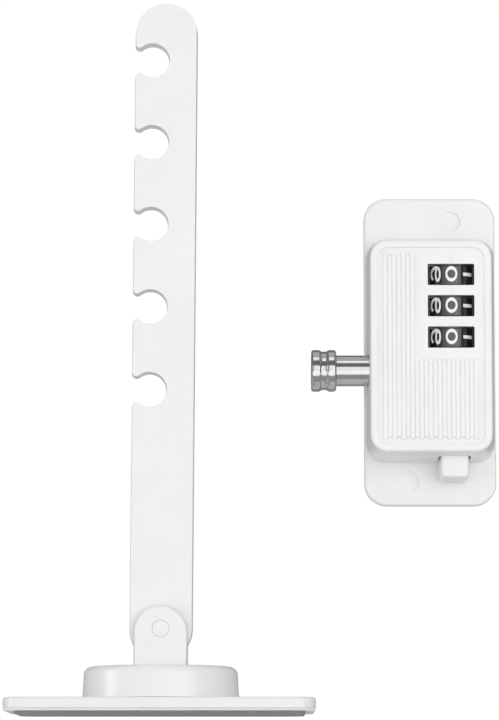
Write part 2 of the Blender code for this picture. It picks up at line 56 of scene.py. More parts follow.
def tidied(points, closed=True):
    # drops repeated points
    kept = []
    for point in points:
        if not kept or math.dist(point, kept[-1]) > 1e-7:
            kept.append(point)
    if closed and math.dist(kept[0], kept[-1]) < 1e-7:
        kept.pop()
    return kept


def braced(points, gap=0.12 * mm, closed=True):
    # a point near each end of every long straight run keeps flat walls flat beside round corners
    points = tidied(points, closed)
    result = []
    for i, (u, v) in enumerate(points):
        result.append((u, v))
        if not closed and i == len(points) - 1:
            break
        nextU, nextV = points[(i + 1) % len(points)]
        length = math.dist((u, v), (nextU, nextV))
        if length > 5 * gap:
            for share in (gap / length, 1 - gap / length):
                result.append((u + (nextU - u) * share, v + (nextV - v) * share))
    return result


def roundRect(width, tall, corner, centre=(0, 0), steps=12):
    points = []
    gap = min(0.12 * mm, (width - 2 * corner) / 4, (tall - 2 * corner) / 4)
    for turn, (side, rise) in enumerate(((1, 1), (-1, 1), (-1, -1), (1, -1))):
        round90 = arc(centre[0] + side * (width / 2 - corner), centre[1] + rise * (tall / 2 - corner),
                      corner, 90 * turn, 90 * turn + 90, steps)
        backU, backV = (0, -rise * gap) if turn % 2 == 0 else (-side * gap, 0)
        onU, onV = (-side * gap, 0) if turn % 2 == 0 else (0, -rise * gap)
        points.append((round90[0][0] + backU, round90[0][1] + backV))
        points += round90
        points.append((round90[-1][0] + onU, round90[-1][1] + onV))
    return points


def circle(radius, centre=(0, 0), count=48):
    return arc(centre[0], centre[1], radius, 0, 360 - 360 / count, count - 1)


def inset(points, distance):
    # each point moves inwards, square to the outline
    if not distance:
        return list(points)
    result = []
    for i, (u, v) in enumerate(points):
        before, after = points[i - 1], points[(i + 1) % len(points)]
        first = Vector((v - before[1], before[0] - u)).normalized() * -1
        second = Vector((after[1] - v, u - after[0])).normalized() * -1
        push = (first + second) / max(1 + first.dot(second), 0.3)
        result.append((u + push.x * distance, v + push.y * distance))
    return result


def softPath(corners, steps=6):
    # an open path of (u, v, rounding) corners, each rounded off between its two runs
    path = []
    for i, (u, v, rounding) in enumerate(corners):
        here = Vector((u, v))
        if not rounding or i in (0, len(corners) - 1):
            path.append((u, v))
            continue
        back = (Vector(corners[i - 1][:2]) - here).normalized() * rounding
        on = (Vector(corners[i + 1][:2]) - here).normalized() * rounding
        for k in range(steps + 1):
            t = k / steps
            point = here + back * (1 - t) ** 2 + on * t ** 2
            path.append((point.x, point.y))
    return braced(path, closed=False)


# mesh helpers: rings of points along one axis, skinned into walls and filled

def spot(along, u, v, w):
    return {"x": Vector((w, u, v)), "y": Vector((u, w, v)), "z": Vector((u, v, w))}[along]


def ringOf(bm, outline, along, w):
    return [bm.verts.new(spot(along, u, v, w)) for u, v in outline]


def skin(bm, rings, closed=True):
    for low, high in zip(rings, rings[1:]):
        for i in range(len(low) if closed else len(low) - 1):
            j = (i + 1) % len(low)
            bm.faces.new((low[i], low[j], high[j], high[i]))


def fill(bm, *rings):
    # a flat face inside the first ring, with the others as holes in it
    if len(rings) == 1:
        bm.faces.new(rings[0])
        return
    edges = []
    for ring in rings:
        for i, vert in enumerate(ring):
            pair = (vert, ring[(i + 1) % len(ring)])
            edges.append(bm.edges.get(pair) or bm.edges.new(pair))
    bmesh.ops.triangle_fill(bm, use_beauty=True, use_dissolve=False, edges=edges)


def edgeLevels(low, high, lowEdge, highEdge, steps=4):
    # (inset, place) pairs of a wall with both of its edges rounded
    brace = 0.05 * mm * (1 if high > low else -1)
    sign = 1 if high > low else -1
    levels = [(lowEdge + abs(brace), low)] if lowEdge else []
    for i in range(steps + 1):
        turn = math.pi / 2 * i / steps
        levels.append((lowEdge * (1 - math.sin(turn)), low + sign * lowEdge * (1 - math.cos(turn))))
    levels.append((0, low + sign * lowEdge + brace))
    levels.append((0, high - sign * highEdge - brace))
    for i in range(steps + 1):
        turn = math.pi / 2 * (1 - i / steps)
        levels.append((highEdge * (1 - math.sin(turn)), high - sign * highEdge * (1 - math.cos(turn))))
    if highEdge:
        levels.append((highEdge + abs(brace), high))
    return levels


def softSlab(bm, outline, along, low, high, edge, holes=(), holeEdge=0.1 * mm, steps=4, draft=0.0):
    # a positive draft makes the low side smaller, a negative one the high side
    rings = []
    for d, w in edgeLevels(low, high, edge, edge, steps):
        share = (w - low) / (high - low)
        lean = max(draft, 0) * (1 - share) + max(-draft, 0) * share
        rings.append(ringOf(bm, inset(outline, d + lean), along, w))
    skin(bm, rings)
    holeRings = []
    for hole in holes:
        through = [ringOf(bm, inset(hole, -d), along, w) for d, w in
                   ((holeEdge, low), (0, low + holeEdge), (0, high - holeEdge), (holeEdge, high))]
        skin(bm, through)
        holeRings.append(through)
    fill(bm, rings[0], *(through[0] for through in holeRings))
    fill(bm, rings[-1], *(through[-1] for through in holeRings))


def turned(bm, path, along, centre, segments=96):
    # a path of (place along the axis, radius) spun round the axis
    rings = []
    for place, radius in path:
        if radius < 1e-7:
            rings.append([bm.verts.new(spot(along, 0, 0, place) + centre)])
        else:
            rings.append([bm.verts.new(spot(along, u, v, place) + centre)
                          for u, v in circle(radius, count=segments)])
    for low, high in zip(rings, rings[1:]):
        for i in range(segments):
            j = (i + 1) % segments
            quad = [low[i % len(low)], low[j % len(low)], high[j % len(high)], high[i % len(high)]]
            bm.faces.new(list(dict.fromkeys(quad)))


def piece(name, bm, material, body, nodes=(), sharp=40):
    # turns a mesh into a named piece that rides on a body and stands for CAD nodes
    bmesh.ops.recalc_face_normals(bm, faces=bm.faces)
    mesh = bpy.data.meshes.new(name)
    bm.to_mesh(mesh)
    bm.free()
    mesh.shade_smooth()
    mesh.set_sharp_from_angle(angle=math.radians(sharp))
    obj = bpy.data.objects.new(name, mesh)
    scene.collection.objects.link(obj)
    mesh.materials.append(material)
    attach(obj, body)
    if nodes:
        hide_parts(*nodes)
    return obj


def carve(obj, *cutters, sharp=40):
    # cuts closed shapes out of a piece for good
    tools = []
    for bm in cutters:
        bmesh.ops.recalc_face_normals(bm, faces=bm.faces)
        mesh = bpy.data.meshes.new("cutter")
        bm.to_mesh(mesh)
        bm.free()
        tool = bpy.data.objects.new("cutter", mesh)
        scene.collection.objects.link(tool)
        modifier = obj.modifiers.new("carve", "BOOLEAN")
        modifier.operation, modifier.solver, modifier.object = "DIFFERENCE", "EXACT", tool
        tools.append(tool)
    cutMesh = bpy.data.meshes.new_from_object(obj.evaluated_get(bpy.context.evaluated_depsgraph_get()))
    obj.modifiers.clear()
    oldMesh, obj.data = obj.data, cutMesh
    cutMesh.name = obj.name
    cutMesh.shade_smooth()
    cutMesh.set_sharp_from_angle(angle=math.radians(sharp))
    bpy.data.meshes.remove(oldMesh)
    for tool in tools:
        bpy.data.objects.remove(tool)


# every finish varies a little over the surface, with a fine grain in its gloss

def noiseField(nodes, links, size, detail=2.0, stretch=(1, 1, 1)):
    # a noise of about that grain size on the piece's own coordinates
    coordinates = nodes.new("ShaderNodeTexCoord")
    mapping = nodes.new("ShaderNodeMapping")
    mapping.inputs["Scale"].default_value = [1 / (size * s) for s in stretch]
    links.new(coordinates.outputs["Object"], mapping.inputs["Vector"])
    noise = nodes.new("ShaderNodeTexNoise")
    noise.inputs["Scale"].default_value = 1
    noise.inputs["Detail"].default_value = detail
    links.new(mapping.outputs["Vector"], noise.inputs["Vector"])
    return noise.outputs["Fac"]


def between(nodes, links, value, low, high):
    spread = nodes.new("ShaderNodeMapRange")
    spread.inputs["From Min"].default_value, spread.inputs["From Max"].default_value = 0.3, 0.7
    spread.inputs["To Min"].default_value, spread.inputs["To Max"].default_value = low, high
    links.new(value, spread.inputs["Value"])
    return spread.outputs["Result"]


def toned(nodes, links, value, dark, light):
    ramp = nodes.new("ShaderNodeValToRGB")
    ramp.color_ramp.elements[0].position, ramp.color_ramp.elements[1].position = 0.3, 0.7
    ramp.color_ramp.elements[0].color = (*dark, 1)
    ramp.color_ramp.elements[1].color = (*light, 1)
    links.new(value, ramp.inputs["Fac"])
    return ramp.outputs["Color"]


def finish(name, look):
    material = bpy.data.materials.new(name)
    material.use_nodes = True
    nodes, links = material.node_tree.nodes, material.node_tree.links
    shader = nodes["Principled BSDF"]
    tone = noiseField(nodes, links, look["patch"], 3, look.get("stretch", (1, 1, 1)))
    links.new(toned(nodes, links, tone, look["dark"], look["light"]), shader.inputs["Base Color"])
    grain = noiseField(nodes, links, look["grain"], 4, look.get("stretch", (1, 1, 1)))
    links.new(between(nodes, links, grain, *look["rough"]), shader.inputs["Roughness"])
    bump = nodes.new("ShaderNodeBump")
    bump.inputs["Strength"].default_value = look["bump"]
    bump.inputs["Distance"].default_value = look["depth"]
    links.new(grain, bump.inputs["Height"])
    links.new(bump.outputs["Normal"], shader.inputs["Normal"])
    for socket, value in look.get("shader", {}).items():
        shader.inputs[socket].default_value = value
    return material


finishes = {
    "whitePlastic": {"dark": (0.845, 0.846, 0.848), "light": (0.875, 0.875, 0.876), "patch": 14 * mm,
                     "grain": 0.35 * mm, "rough": (0.26, 0.34), "bump": 0.12, "depth": 0.01 * mm,
                     "shader": {"Specular IOR Level": 0.6, "Coat Weight": 0.35, "Coat Roughness": 0.12}},
    "innerPlastic": {"dark": (0.76, 0.76, 0.75), "light": (0.82, 0.82, 0.81), "patch": 9 * mm,
                     "grain": 0.3 * mm, "rough": (0.4, 0.5), "bump": 0.15, "depth": 0.01 * mm},
    "dialBlack": {"dark": (0.006, 0.006, 0.007), "light": (0.014, 0.014, 0.015), "patch": 2 * mm,
                  "grain": 0.2 * mm, "rough": (0.13, 0.18), "bump": 0.06, "depth": 0.01 * mm,
                  "shader": {"Specular IOR Level": 0.7, "Coat Weight": 0.35, "Coat Roughness": 0.1,
                             "Coat IOR": 1.6}},
    "numeralWhite": {"dark": (0.9, 0.9, 0.9), "light": (0.96, 0.96, 0.96), "patch": 0.5 * mm,
                     "grain": 0.1 * mm, "rough": (0.45, 0.6), "bump": 0.2, "depth": 0.01 * mm},
    "polishedSteel": {"dark": (0.40, 0.40, 0.403), "light": (0.44, 0.44, 0.441), "patch": 3 * mm,
                      "grain": 0.06 * mm, "rough": (0.07, 0.12), "bump": 0.06, "depth": 0.004 * mm,
                      "stretch": (1, 60, 60), "shader": {"Metallic": 1.0}},
    "plainSteel": {"dark": (0.42, 0.42, 0.42), "light": (0.58, 0.58, 0.57), "patch": 1.5 * mm,
                   "grain": 0.15 * mm, "rough": (0.28, 0.42), "bump": 0.15, "depth": 0.01 * mm,
                   "shader": {"Metallic": 1.0}},
    "springSteel": {"dark": (0.5, 0.5, 0.5), "light": (0.6, 0.6, 0.6), "patch": 2 * mm,
                    "grain": 0.1 * mm, "rough": (0.18, 0.28), "bump": 0.08, "depth": 0.005 * mm,
                    "shader": {"Metallic": 1.0}},
    "washerBlack": {"dark": (0.01, 0.01, 0.011), "light": (0.025, 0.025, 0.026), "patch": 1 * mm,
                    "grain": 0.2 * mm, "rough": (0.45, 0.6), "bump": 0.15, "depth": 0.01 * mm},
    "foamTape": {"dark": (0.32, 0.32, 0.322), "light": (0.39, 0.39, 0.392), "patch": 0.6 * mm,
                 "grain": 0.15 * mm, "rough": (0.8, 0.95), "bump": 0.5, "depth": 0.04 * mm,
                 "shader": {"Specular IOR Level": 0.2}},
}
materials = {name: finish(name, look) for name, look in finishes.items()}
print("finishes made:", ", ".join(materials))


# the arm unit: foam pad, base plate, turret, pin and arm

base = {"width": 80.2 * mm, "depth": 44 * mm, "corner": 5.8 * mm, "bottom": 0.62 * mm, "top": 4.1 * mm,
        "topEdge": 0.75 * mm, "chamfer": 0.32 * mm, "lineLow": 1.2 * mm, "lineHigh": 1.42 * mm,
        "lineDepth": 0.22 * mm}


def makeBasePlate():
    outline = roundRect(base["width"], base["depth"], base["corner"], steps=16)
    low, high, edge = base["lineLow"], base["lineHigh"], base["topEdge"]
    middle = (low + high) / 2
    levels = [(base["chamfer"] + 0.2 * mm, base["bottom"]), (base["chamfer"], base["bottom"]),
              (base["chamfer"] - 0.12 * mm, base["bottom"] + 0.04 * mm), (0.1 * mm, low - 0.08 * mm),
              (0.04 * mm, low), (base["lineDepth"], middle), (0.0, high), (0.0, high + 0.1 * mm)]
    levels += edgeLevels(high + 0.2 * mm, base["top"], 0, edge, 6)[2:]
    bm = bmesh.new()
    rings = [ringOf(bm, inset(outline, d), "z", w) for d, w in levels]
    skin(bm, rings)
    fill(bm, rings[0])
    fill(bm, rings[-1])
    piece("basePlateShell", bm, materials["whitePlastic"], "base", ["base_plate"])


basePad = {"inset": 2.6 * mm, "thick": 0.7 * mm, "glue": 0.12 * mm}


def makeBasePad():
    # foam core between two thin glue layers that stand a little proud
    shrink, thick, glue = basePad["inset"], basePad["thick"], basePad["glue"]
    outline = roundRect(base["width"] - 2 * shrink, base["depth"] - 2 * shrink, base["corner"] - shrink / 2)
    levels = [(0.3 * mm, 0), (0.05 * mm, 0.01 * mm), (0, 0.05 * mm), (0, glue), (glue, glue + 0.04 * mm),
              (glue + 0.04 * mm, thick / 2), (glue, thick - glue), (0, thick - 0.08 * mm), (0, thick)]
    bm = bmesh.new()
    rings = [ringOf(bm, inset(outline, d), "z", w) for d, w in levels]
    skin(bm, rings)
    fill(bm, rings[0])
    fill(bm, rings[-1])
    piece("baseFoamPad", bm, materials["foamTape"], "base", ["base_pad"])


pin = {"radius": 2.16 * mm, "hole": 2.2 * mm, "edge": 0.12 * mm, "sunk": 0.05 * mm}
boss = {"foot": 4.16 * mm, "top": 12.5 * mm, "crown": 0.3 * mm, "footRadius": 20.4 * mm,
        "topRadius": 20 * mm, "rimTall": 1.25 * mm, "rimWide": 1.25 * mm, "rimTop": 0.12 * mm,
        "hub": 3 * mm, "hubEnd": 2.1 * mm, "lugRadius": 7.1 * mm, "lugMiddle": 21.2 * mm,
        "lugInner": 3.0 * mm, "lugOuter": 5.6 * mm, "lugEdge": 0.4 * mm, "lugFoot": 11.4 * mm,
        "lugDraft": 0.32 * mm}


def lugOutline():
    top, side, foot, brace = boss["lugMiddle"], boss["lugRadius"], boss["lugFoot"], 0.15 * mm
    legs = [(-side, top - brace), (-side, foot), (side, foot), (side, top - brace)]
    return arc(0, top, side, 0, 180, 40) + legs


def makeTurret():
    bm = bmesh.new()
    path = softPath([(boss["hubEnd"], 0, 0), (boss["hubEnd"], boss["hub"], 0.2 * mm),
                     (boss["foot"], boss["hub"], 0), (boss["foot"], boss["footRadius"], 0.18 * mm),
                     (boss["top"] - boss["rimTall"], boss["topRadius"], 0.7 * mm),
                     (boss["top"] - boss["rimTop"], boss["topRadius"] - boss["rimWide"], 0.8 * mm),
                     (boss["top"] + boss["crown"], 0, 0)], 10)
    turned(bm, path, "z", Vector((0, 0, 0)), 160)
    pivot = jointPlace["arm_fold"].z
    hole = circle(pin["hole"], (0, pivot))
    for side in (-1, 1):
        low, high = sorted((side * boss["lugInner"], side * boss["lugOuter"]))
        softSlab(bm, lugOutline(), "y", low, high, boss["lugEdge"], [hole], 0.04 * mm,
                 draft=-side * boss["lugDraft"])
    piece("turretBody", bm, materials["whitePlastic"], "turret", ["turret"])


def makePivotPin():
    reach = boss["lugOuter"] - pin["sunk"]
    path = softPath([(-reach, 0, 0), (-reach, pin["radius"], pin["edge"]),
                     (reach, pin["radius"], pin["edge"]), (reach, 0, 0)])
    bm = bmesh.new()
    turned(bm, path, "y", Vector((0, 0, jointPlace["arm_fold"].z)), 64)
    piece("pivotPinBody", bm, materials["whitePlastic"], "turret", ["pivot_pin"])


arm = {"half": 8.3 * mm, "thick": 4.6 * mm, "reach": 165.8 * mm, "lean": 0.4, "edge": 0.17 * mm,
       "draft": 0.26 * mm, "notches": 5, "pitch": 21.9 * mm, "firstNotch": 62.7 * mm,
       "notchRadius": 4.33 * mm, "notchInset": 4.7 * mm, "lip": 1.25 * mm}


def makeStayArm():
    half, lip, radius = arm["half"], arm["lip"], arm["notchRadius"]
    across = arm["notchInset"] - lip
    rise = math.sqrt((radius + lip) ** 2 - across ** 2)
    lean = math.degrees(math.atan2(rise, across))
    points = arc(0, arm["reach"] - half, half, 0, 180, 48)
    for i in reversed(range(arm["notches"])):
        middle = arm["firstNotch"] + i * arm["pitch"]
        points += arc(-half + lip, middle + rise, lip, 180, 360 - lean, 14)
        points += arc(-half + arm["notchInset"], middle, radius, 180 - lean, lean - 180, 44)
        points += arc(-half + lip, middle - rise, lip, lean, 180, 14)
    points += arc(0, 0, half, 180, 360, 48)
    bm = bmesh.new()
    softSlab(bm, braced(points), "y", -arm["thick"] / 2, arm["thick"] / 2, arm["edge"],
             [circle(pin["hole"])], steps=5, draft=arm["draft"])
    pivot = jointPlace["arm_fold"]
    turn = Matrix.Translation(pivot) @ Matrix.Rotation(math.radians(arm["lean"]), 4, "Y")
    bmesh.ops.transform(bm, matrix=turn, verts=bm.verts)
    piece("stayArmBlade", bm, materials["whitePlastic"], "arm", ["stay_arm"])


makeBasePlate()
makeBasePad()
makeTurret()
makePivotPin()
makeStayArm()
print("arm unit made")


# the lock unit is measured in heights off the wall

lock = {"x": 71.36 * mm, "z": 97.5 * mm, "wall": 22 * mm,
        "plate": (35.2 * mm, 82.85 * mm, 6 * mm, 0, -0.12 * mm), "plateBack": 0.85 * mm,
        "plateFace": 3.4 * mm, "plateEdge": 0.75 * mm, "foot": (34.4 * mm, 59.05 * mm, 5 * mm, 0, -0.32 * mm),
        "footFillet": 0.3 * mm, "seam": (33.7 * mm, 58.5 * mm, 4.9 * mm, -0.1 * mm, -0.3 * mm),
        "seamHeight": 11.2 * mm, "seamGap": 0.2 * mm, "seamStep": 0.2 * mm,
        "wallThick": 1.6 * mm, "dimpleRadius": 2.64 * mm, "dimpleDepth": 0.6 * mm,
        "dimples": ((5.7 * mm, 35 * mm), (-5.7 * mm, -35 * mm))}


def offWall(height):
    return lock["wall"] - height


def lockOutline(size, shrink=0.0, steps=12):
    width, tall, corner, x, z = size
    return roundRect(width - 2 * shrink, tall - 2 * shrink, max(corner - shrink, 0.3 * mm),
                     (lock["x"] + x, lock["z"] + z), steps)


def lockRing(bm, size, shrink, height):
    return ringOf(bm, lockOutline(size, shrink), "y", offWall(height))


def makeLockBackPlate():
    bm = bmesh.new()
    face = lock["plateFace"]
    rings = [lockRing(bm, lock["plate"], d, h) for d, h in
             edgeLevels(lock["plateBack"], face, 0.25 * mm, lock["plateEdge"], 6)]
    skin(bm, rings)
    fill(bm, rings[0])
    wells = []
    for x, z in lock["dimples"]:
        radius, depth = lock["dimpleRadius"], lock["dimpleDepth"]
        centre = (lock["x"] + x, lock["z"] + z)
        well = [ringOf(bm, circle(radius + d, centre, 64), "y", offWall(face)) for d in (0.2 * mm, 0.08 * mm)]
        for grow, share in ((0.01 * mm, 0.12), (-0.03 * mm, 0.9), (-0.12 * mm, 1), (-1.2 * mm, 1)):
            # the floor leans: deepest at the upper right, level with the face at the lower left
            ring = []
            for u, v in circle(radius + grow, centre, 64):
                across = ((u - centre[0]) + (v - centre[1])) / (math.sqrt(2) * radius)
                ring.append(bm.verts.new((u, offWall(face - share * depth * (0.5 + 0.5 * across)), v)))
            well.append(ring)
        skin(bm, well)
        fill(bm, well[-1])
        wells.append(well[0])
    fill(bm, rings[-1], *wells)
    piece("lockPlateBody", bm, materials["whitePlastic"], "lock_unit", ["lock_back_plate"])


def makeLockSkirt():
    face, fillet, step = lock["plateFace"], lock["footFillet"], lock["seamStep"]
    sunk, top = face - 1.2 * mm, lock["seamHeight"] - lock["seamGap"] / 2
    thick = lock["wallThick"]
    footLevels = [(-fillet, sunk), (-fillet, face), (-0.45 * fillet, face + 0.1 * fillet),
                  (-0.1 * fillet, face + 0.4 * fillet), (0, face + fillet), (0.01 * mm, face + 1.3 * fillet)]
    seamLevels = [(step - 0.01 * mm, top - 0.25 * mm), (step, top - 0.12 * mm),
                  (step + 0.03 * mm, top - 0.03 * mm), (step + 0.12 * mm, top), (thick, top), (thick, sunk)]
    bm = bmesh.new()
    skirt = [lockRing(bm, lock["foot"], d, h) for d, h in footLevels]
    skirt += [lockRing(bm, lock["seam"], d, h) for d, h in seamLevels]
    skin(bm, skirt + skirt[:1])
    case = piece("lockSkirtShell", bm, materials["whitePlastic"], "lock_unit")
    carve(case, *caseCutters())


def caseCutters():
    # the stud's hole in the left wall and the button's slot in the bottom wall
    hole = bmesh.new()
    radius = stud["shank"] + stud["gap"]
    start, end = stud["wallSpan"]
    turned(hole, [(start, 0), (start, radius), (end, radius), (end, 0)], "x",
           Vector((lock["x"], offWall(dials["axisHeight"]), lock["z"] + stud["z"])), 64)
    slot = bmesh.new()
    gap = button["gap"]
    outline = roundRect(button["width"] + 2 * gap, button["high"] - button["low"] + 2 * gap, button["corner"],
                        (lock["x"] + button["x"], offWall((button["high"] + button["low"]) / 2)), 8)
    rings = [ringOf(slot, outline, "z", lock["z"] + z) for z in button["wallSpan"]]
    skin(slot, rings)
    fill(slot, rings[0])
    fill(slot, rings[1])
    return hole, slot


cover = {"face": (32.2 * mm, 56.35 * mm, 4.5 * mm, -0.25 * mm, -0.32 * mm), "faceHeight": 19 * mm,
         "edge": 0.75 * mm, "recess": (28.4 * mm, 52.3 * mm, 3.1 * mm, -0.33 * mm, -0.32 * mm),
         "recessDepth": 0.65 * mm, "panelThick": 1.5 * mm}

def dialHeight(index):
    return dials["middle"] + (1 - index) * dials["pitch"]


def makeLockCover():
    seam, top, edge = lock["seamHeight"] + lock["seamGap"] / 2, cover["faceHeight"], cover["edge"]
    seamLevels = [(lock["wallThick"], seam), (0.12 * mm, seam), (0.03 * mm, seam + 0.03 * mm),
                  (0, seam + 0.12 * mm), (0.01 * mm, seam + 0.25 * mm)]
    bm = bmesh.new()
    outer = [lockRing(bm, lock["seam"], d, h) for d, h in seamLevels]
    outer += [lockRing(bm, cover["face"], d, h) for d, h in edgeLevels(top - 2 * edge, top, 0, edge, 7)[6:]]
    floor = top - cover["recessDepth"]
    recess = [(-0.22 * mm, top), (-0.12 * mm, top), (-0.05 * mm, top - 0.03 * mm), (0, top - 0.1 * mm),
              (0.02 * mm, floor + 0.08 * mm), (0.1 * mm, floor), (0.2 * mm, floor)]
    outer += [lockRing(bm, cover["recess"], d, h) for d, h in recess]
    skin(bm, outer)
    under = top - cover["panelThick"]
    inner = [outer[0], lockRing(bm, cover["face"], lock["wallThick"], under)]
    skin(bm, inner)
    windowTops, windowFoots = [], []
    for i in range(dials["count"]):
        centre = (lock["x"] + dials["windowX"], lock["z"] + dialHeight(i) + dials["windowRaise"])
        outline = roundRect(*dials["window"], 0.25 * mm, centre, 4)
        rings = [ringOf(bm, inset(outline, -d), "y", offWall(h)) for d, h in
                 ((0.16 * mm, floor), (0.1 * mm, floor), (0.03 * mm, floor - 0.03 * mm),
                  (0, floor - 0.1 * mm), (0, under))]
        skin(bm, rings)
        windowTops.append(rings[0])
        windowFoots.append(rings[-1])
    fill(bm, outer[-1], *windowTops)
    fill(bm, inner[-1], *windowFoots)
    case = piece("lockCoverShell", bm, materials["whitePlastic"], "lock_unit", ["lock_cover"])
    carve(case, *caseCutters())


grip = {"width": 1.2 * mm, "pitch": 2.39 * mm, "left": -12.4 * mm, "low": -25.2 * mm, "tallTop": 24.4 * mm,
        "shortTop": -3.65 * mm, "count": 11, "tallCount": 4, "corner": 0.45 * mm, "rise": 0.45 * mm,
        "valleyRise": 0.4 * mm, "valleyEnd": 0.6 * mm, "valleyCorner": 0.4 * mm, "grooveRise": 0.26 * mm,
        "grooveSlope": 0.13 * mm}


def makeGripRibs():
    ribs = bmesh.new()
    floor = cover["faceHeight"] - cover["recessDepth"]
    wide, pitch, low = grip["width"], grip["pitch"], grip["low"]
    groove, slope = grip["grooveRise"], grip["grooveSlope"]

    def strip(x, width, low, high, rise, corner):
        # one band of the grip, its long edges sloping into a fine groove
        outline = roundRect(width, high - low, corner, (x, lock["z"] + (high + low) / 2), 6)
        rings = [ringOf(ribs, inset(outline, d), "y", offWall(floor + h)) for d, h in
                 ((0, -0.05 * mm), (0, groove), (0.7 * slope, rise - 0.15 * (rise - groove)),
                  (slope, rise), (1.3 * slope, rise))]
        skin(ribs, rings)
        fill(ribs, rings[-1])

    for k in range(grip["count"]):
        # the first bands run past the windows, the rest stop below them
        high = grip["tallTop"] if k < grip["tallCount"] else grip["shortTop"]
        middle, end = lock["x"] + grip["left"] + k * pitch, grip["valleyEnd"]
        strip(middle, wide, low, high, grip["rise"], grip["corner"])
        if k:
            strip(middle - 0.5 * pitch, pitch - wide, low + end, high - end, grip["valleyRise"],
                  grip["valleyCorner"])
    piece("lockGripRibs", ribs, materials["whitePlastic"], "lock_unit")


index = {"width": 0.75 * mm, "rise": 0.16 * mm, "corner": 0.2 * mm, "shift": 0.1 * mm,
         "spans": ((21.9 * mm, 24.5 * mm), (13.2 * mm, 15.4 * mm), (4.9 * mm, 7.1 * mm))}


def makeIndexMarks():
    # short upright bars above the windows, in line with the code
    marks = bmesh.new()
    floor, rise = cover["faceHeight"] - cover["recessDepth"], index["rise"]
    for low, high in index["spans"]:
        centre = (lock["x"] + dials["windowX"] + index["shift"], lock["z"] + (high + low) / 2)
        outline = roundRect(index["width"], high - low, index["corner"], centre, 4)
        rings = [ringOf(marks, inset(outline, d), "y", offWall(floor + h)) for d, h in
                 ((0, -0.05 * mm), (0, 0.3 * rise), (0.08 * mm, 0.9 * rise), (0.14 * mm, rise))]
        skin(marks, rings)
        fill(marks, rings[-1])
    piece("lockIndexMarks", marks, materials["whitePlastic"], "lock_unit")


lockPad = {"inset": 1.5 * mm, "thick": 0.8 * mm, "edge": 0.08 * mm, "hole": 2.6 * mm}


def makeLockPad():
    bm = bmesh.new()
    outline = lockOutline(lock["plate"], lockPad["inset"])
    holes = [circle(lockPad["hole"], (lock["x"] + x, lock["z"] + z), 40) for x, z in screwPlaces]
    softSlab(bm, outline, "y", offWall(lockPad["thick"]), offWall(0), lockPad["edge"], holes, 0.05 * mm)
    piece("lockFoamPad", bm, materials["foamTape"], "lock_unit", ["lock_pad"])


screwPlaces = [(side * 12.5 * mm, rise * 24 * mm) for rise in (1, -1) for side in (-1, 1)]
screw = {"head": 1.85 * mm, "headTop": 0.95 * mm, "headFoot": 2.05 * mm, "shank": 0.9 * mm, "tip": 9.6 * mm,
         "point": 0.6 * mm, "crossTop": (2.1 * mm, 0.42 * mm), "crossFoot": (1.0 * mm, 0.3 * mm),
         "crossDeep": 0.75 * mm, "turn": 20}


def makeCoverScrews():
    top, foot, tip = -screw["headTop"], -screw["headFoot"], -screw["tip"]
    head, shank, soft = screw["head"], screw["shank"], 0.1 * mm
    path = softPath([(top, 0, 0), (top, head, 0.35 * mm), (foot, head, soft), (foot, shank, soft),
                     (tip + screw["point"], shank, soft), (tip, 0, 0)], 5)
    for number, (x, z) in enumerate(screwPlaces, 1):
        place = Vector((lock["x"] + x, lock["wall"], lock["z"] + z))
        bm = bmesh.new()
        turned(bm, path, "y", place, 40)
        made = piece(f"coverScrewBody{number}", bm, materials["plainSteel"], "lock_unit",
                     [f"cover_screw_{number}"])
        slots = []
        for quarter in (0, 90):   # cross recess in the head
            cross = bmesh.new()
            wide = roundRect(*screw["crossTop"], soft, steps=3)
            narrow = roundRect(*screw["crossFoot"], soft, steps=3)
            rings = [ringOf(cross, wide, "y", 0.2 * mm), ringOf(cross, wide, "y", top - soft),
                     ringOf(cross, narrow, "y", top - screw["crossDeep"])]
            skin(cross, rings)
            fill(cross, rings[0])
            fill(cross, rings[-1])
            turn = Matrix.Rotation(math.radians(quarter + screw["turn"] * number), 4, "Y")
            bmesh.ops.transform(cross, matrix=Matrix.Translation(place) @ turn, verts=cross.verts)
            slots.append(cross)
        carve(made, *slots)


button = {"x": 6.05 * mm, "width": 8 * mm, "low": 3.9 * mm, "high": 14 * mm, "tip": -35.2 * mm,
          "root": -24.1 * mm, "corner": 1.5 * mm, "edge": 0.6 * mm, "draft": 0.4 * mm, "gap": 0.2 * mm,
          "flangeSide": 0.5 * mm, "flangeTall": 1.3 * mm, "wallSpan": (-32 * mm, -22 * mm)}


def makeReleaseButton():
    middle = (lock["x"] + button["x"], lock["z"] + (button["tip"] + button["root"]) / 2)
    outline = roundRect(button["width"], button["root"] - button["tip"], button["corner"], middle, 8)
    bm = bmesh.new()
    softSlab(bm, outline, "y", offWall(button["high"]), offWall(button["low"]), button["edge"],
             steps=6, draft=button["draft"])
    tall = button["flangeTall"]
    flange = roundRect(button["width"] + 2 * button["flangeSide"], tall, 0.2 * mm,
                       (middle[0], lock["z"] + button["root"] - tall / 2), 3)
    softSlab(bm, flange, "y", offWall(button["high"]), offWall(button["low"]), 0.1 * mm, steps=2)
    piece("releaseButtonCap", bm, materials["whitePlastic"], "button", ["release_button"])


stud = {"z": -6.23 * mm, "shank": 4.1 * mm, "neck": 2.8 * mm, "head": 5.55 * mm, "groove": 5.12 * mm,
        "tip": -31.9 * mm, "back": -25.25 * mm, "grooveSpan": (-29.2 * mm, -27.85 * mm), "shankEnd": -14 * mm,
        "collar": (-6.4 * mm, -4.4 * mm), "tail": 9.5 * mm, "springBore": 2.05 * mm, "boreStart": -3 * mm,
        "gap": 0.55 * mm, "wallSpan": (-20 * mm, -12 * mm)}


